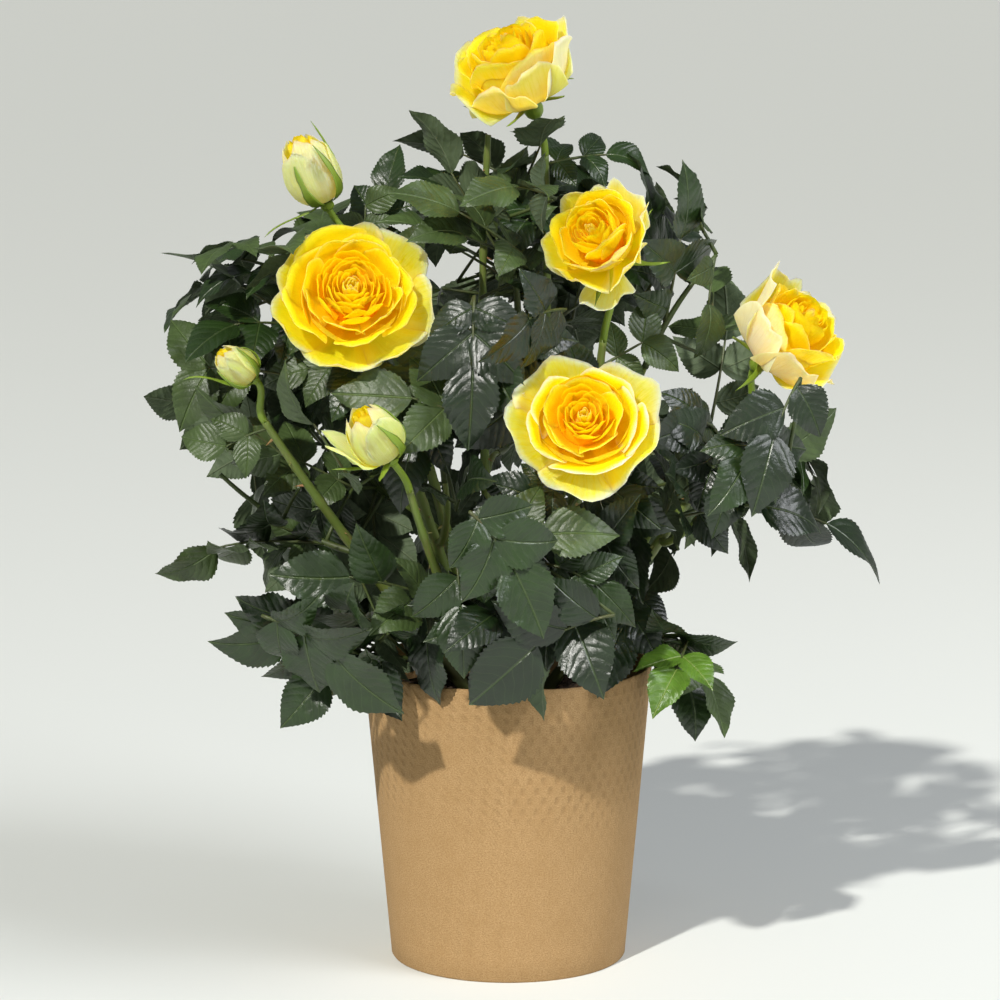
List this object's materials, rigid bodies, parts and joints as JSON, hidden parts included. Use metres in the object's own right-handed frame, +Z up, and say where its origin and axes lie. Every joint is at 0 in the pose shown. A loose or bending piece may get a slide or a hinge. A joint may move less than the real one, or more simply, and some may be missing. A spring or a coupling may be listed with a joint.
{
  "type": "potted rose bush",
  "caption": "Small yellow rose bush in flower, upright canes with glossy compound leaves, growing in a tapered round pot of plain kraft card.",
  "frame": {"origin": "middle of the pot's flat underside, on the surface that the pot stands on", "axes": "+Z up along the pot's axis, front of the picture towards -Y, +X to the right as the picture shows it"},
  "size_m": [0.3243, 0.2569, 0.4196],
  "materials": {
    "kraft_card": "matt kraft card with fine fibres",
    "peat": "moist dark potting peat",
    "green_bark": "smooth green young bark",
    "green_leaf": "glossy dark green",
    "yellow_petal": "soft satin petals",
    "cream_petal": "soft satin petals"
  },
  "bodies": {
    "root": {"pot": "kraft_card", "soil": "peat", "bough_back": "green_bark", "bough_back_high": "green_bark", "bough_back_left": "green_bark", "bough_back_low": "green_bark", "bough_back_right": "green_bark", "bough_front": "green_bark", "bough_heart": "green_bark", "bough_left_high": "green_bark", "bough_right": "green_bark", "bough_right_high": "green_bark", "bough_right_low": "green_bark", "bough_top": "green_bark", "bud_front": "cream_petal", "bud_left": "cream_petal", "bud_upper_left": "cream_petal", "cane_centre_right": "green_bark", "cane_cut": "green_bark", "cane_front": "green_bark", "cane_front_left": "green_bark", "cane_left": "green_bark", "cane_left_low": "green_bark", "cane_right": "green_bark", "cane_top": "green_bark", "cane_upper_left": "green_bark", "foliage_back": "green_leaf", "foliage_back_high": "green_leaf", "foliage_back_left": "green_leaf", "foliage_back_low": "green_leaf", "foliage_back_right": "green_leaf", "foliage_foot_left": "green_leaf", "foliage_front": "green_leaf", "foliage_heart": "green_leaf", "foliage_left": "green_leaf", "foliage_left_high": "green_leaf", "foliage_right": "green_leaf", "foliage_right_high": "green_leaf", "foliage_right_low": "green_leaf", "foliage_top": "green_leaf", "rose_centre": "yellow_petal", "rose_front": "yellow_petal", "rose_left": "yellow_petal", "rose_right": "yellow_petal", "rose_top": "yellow_petal"}
  },
  "joints": []
}
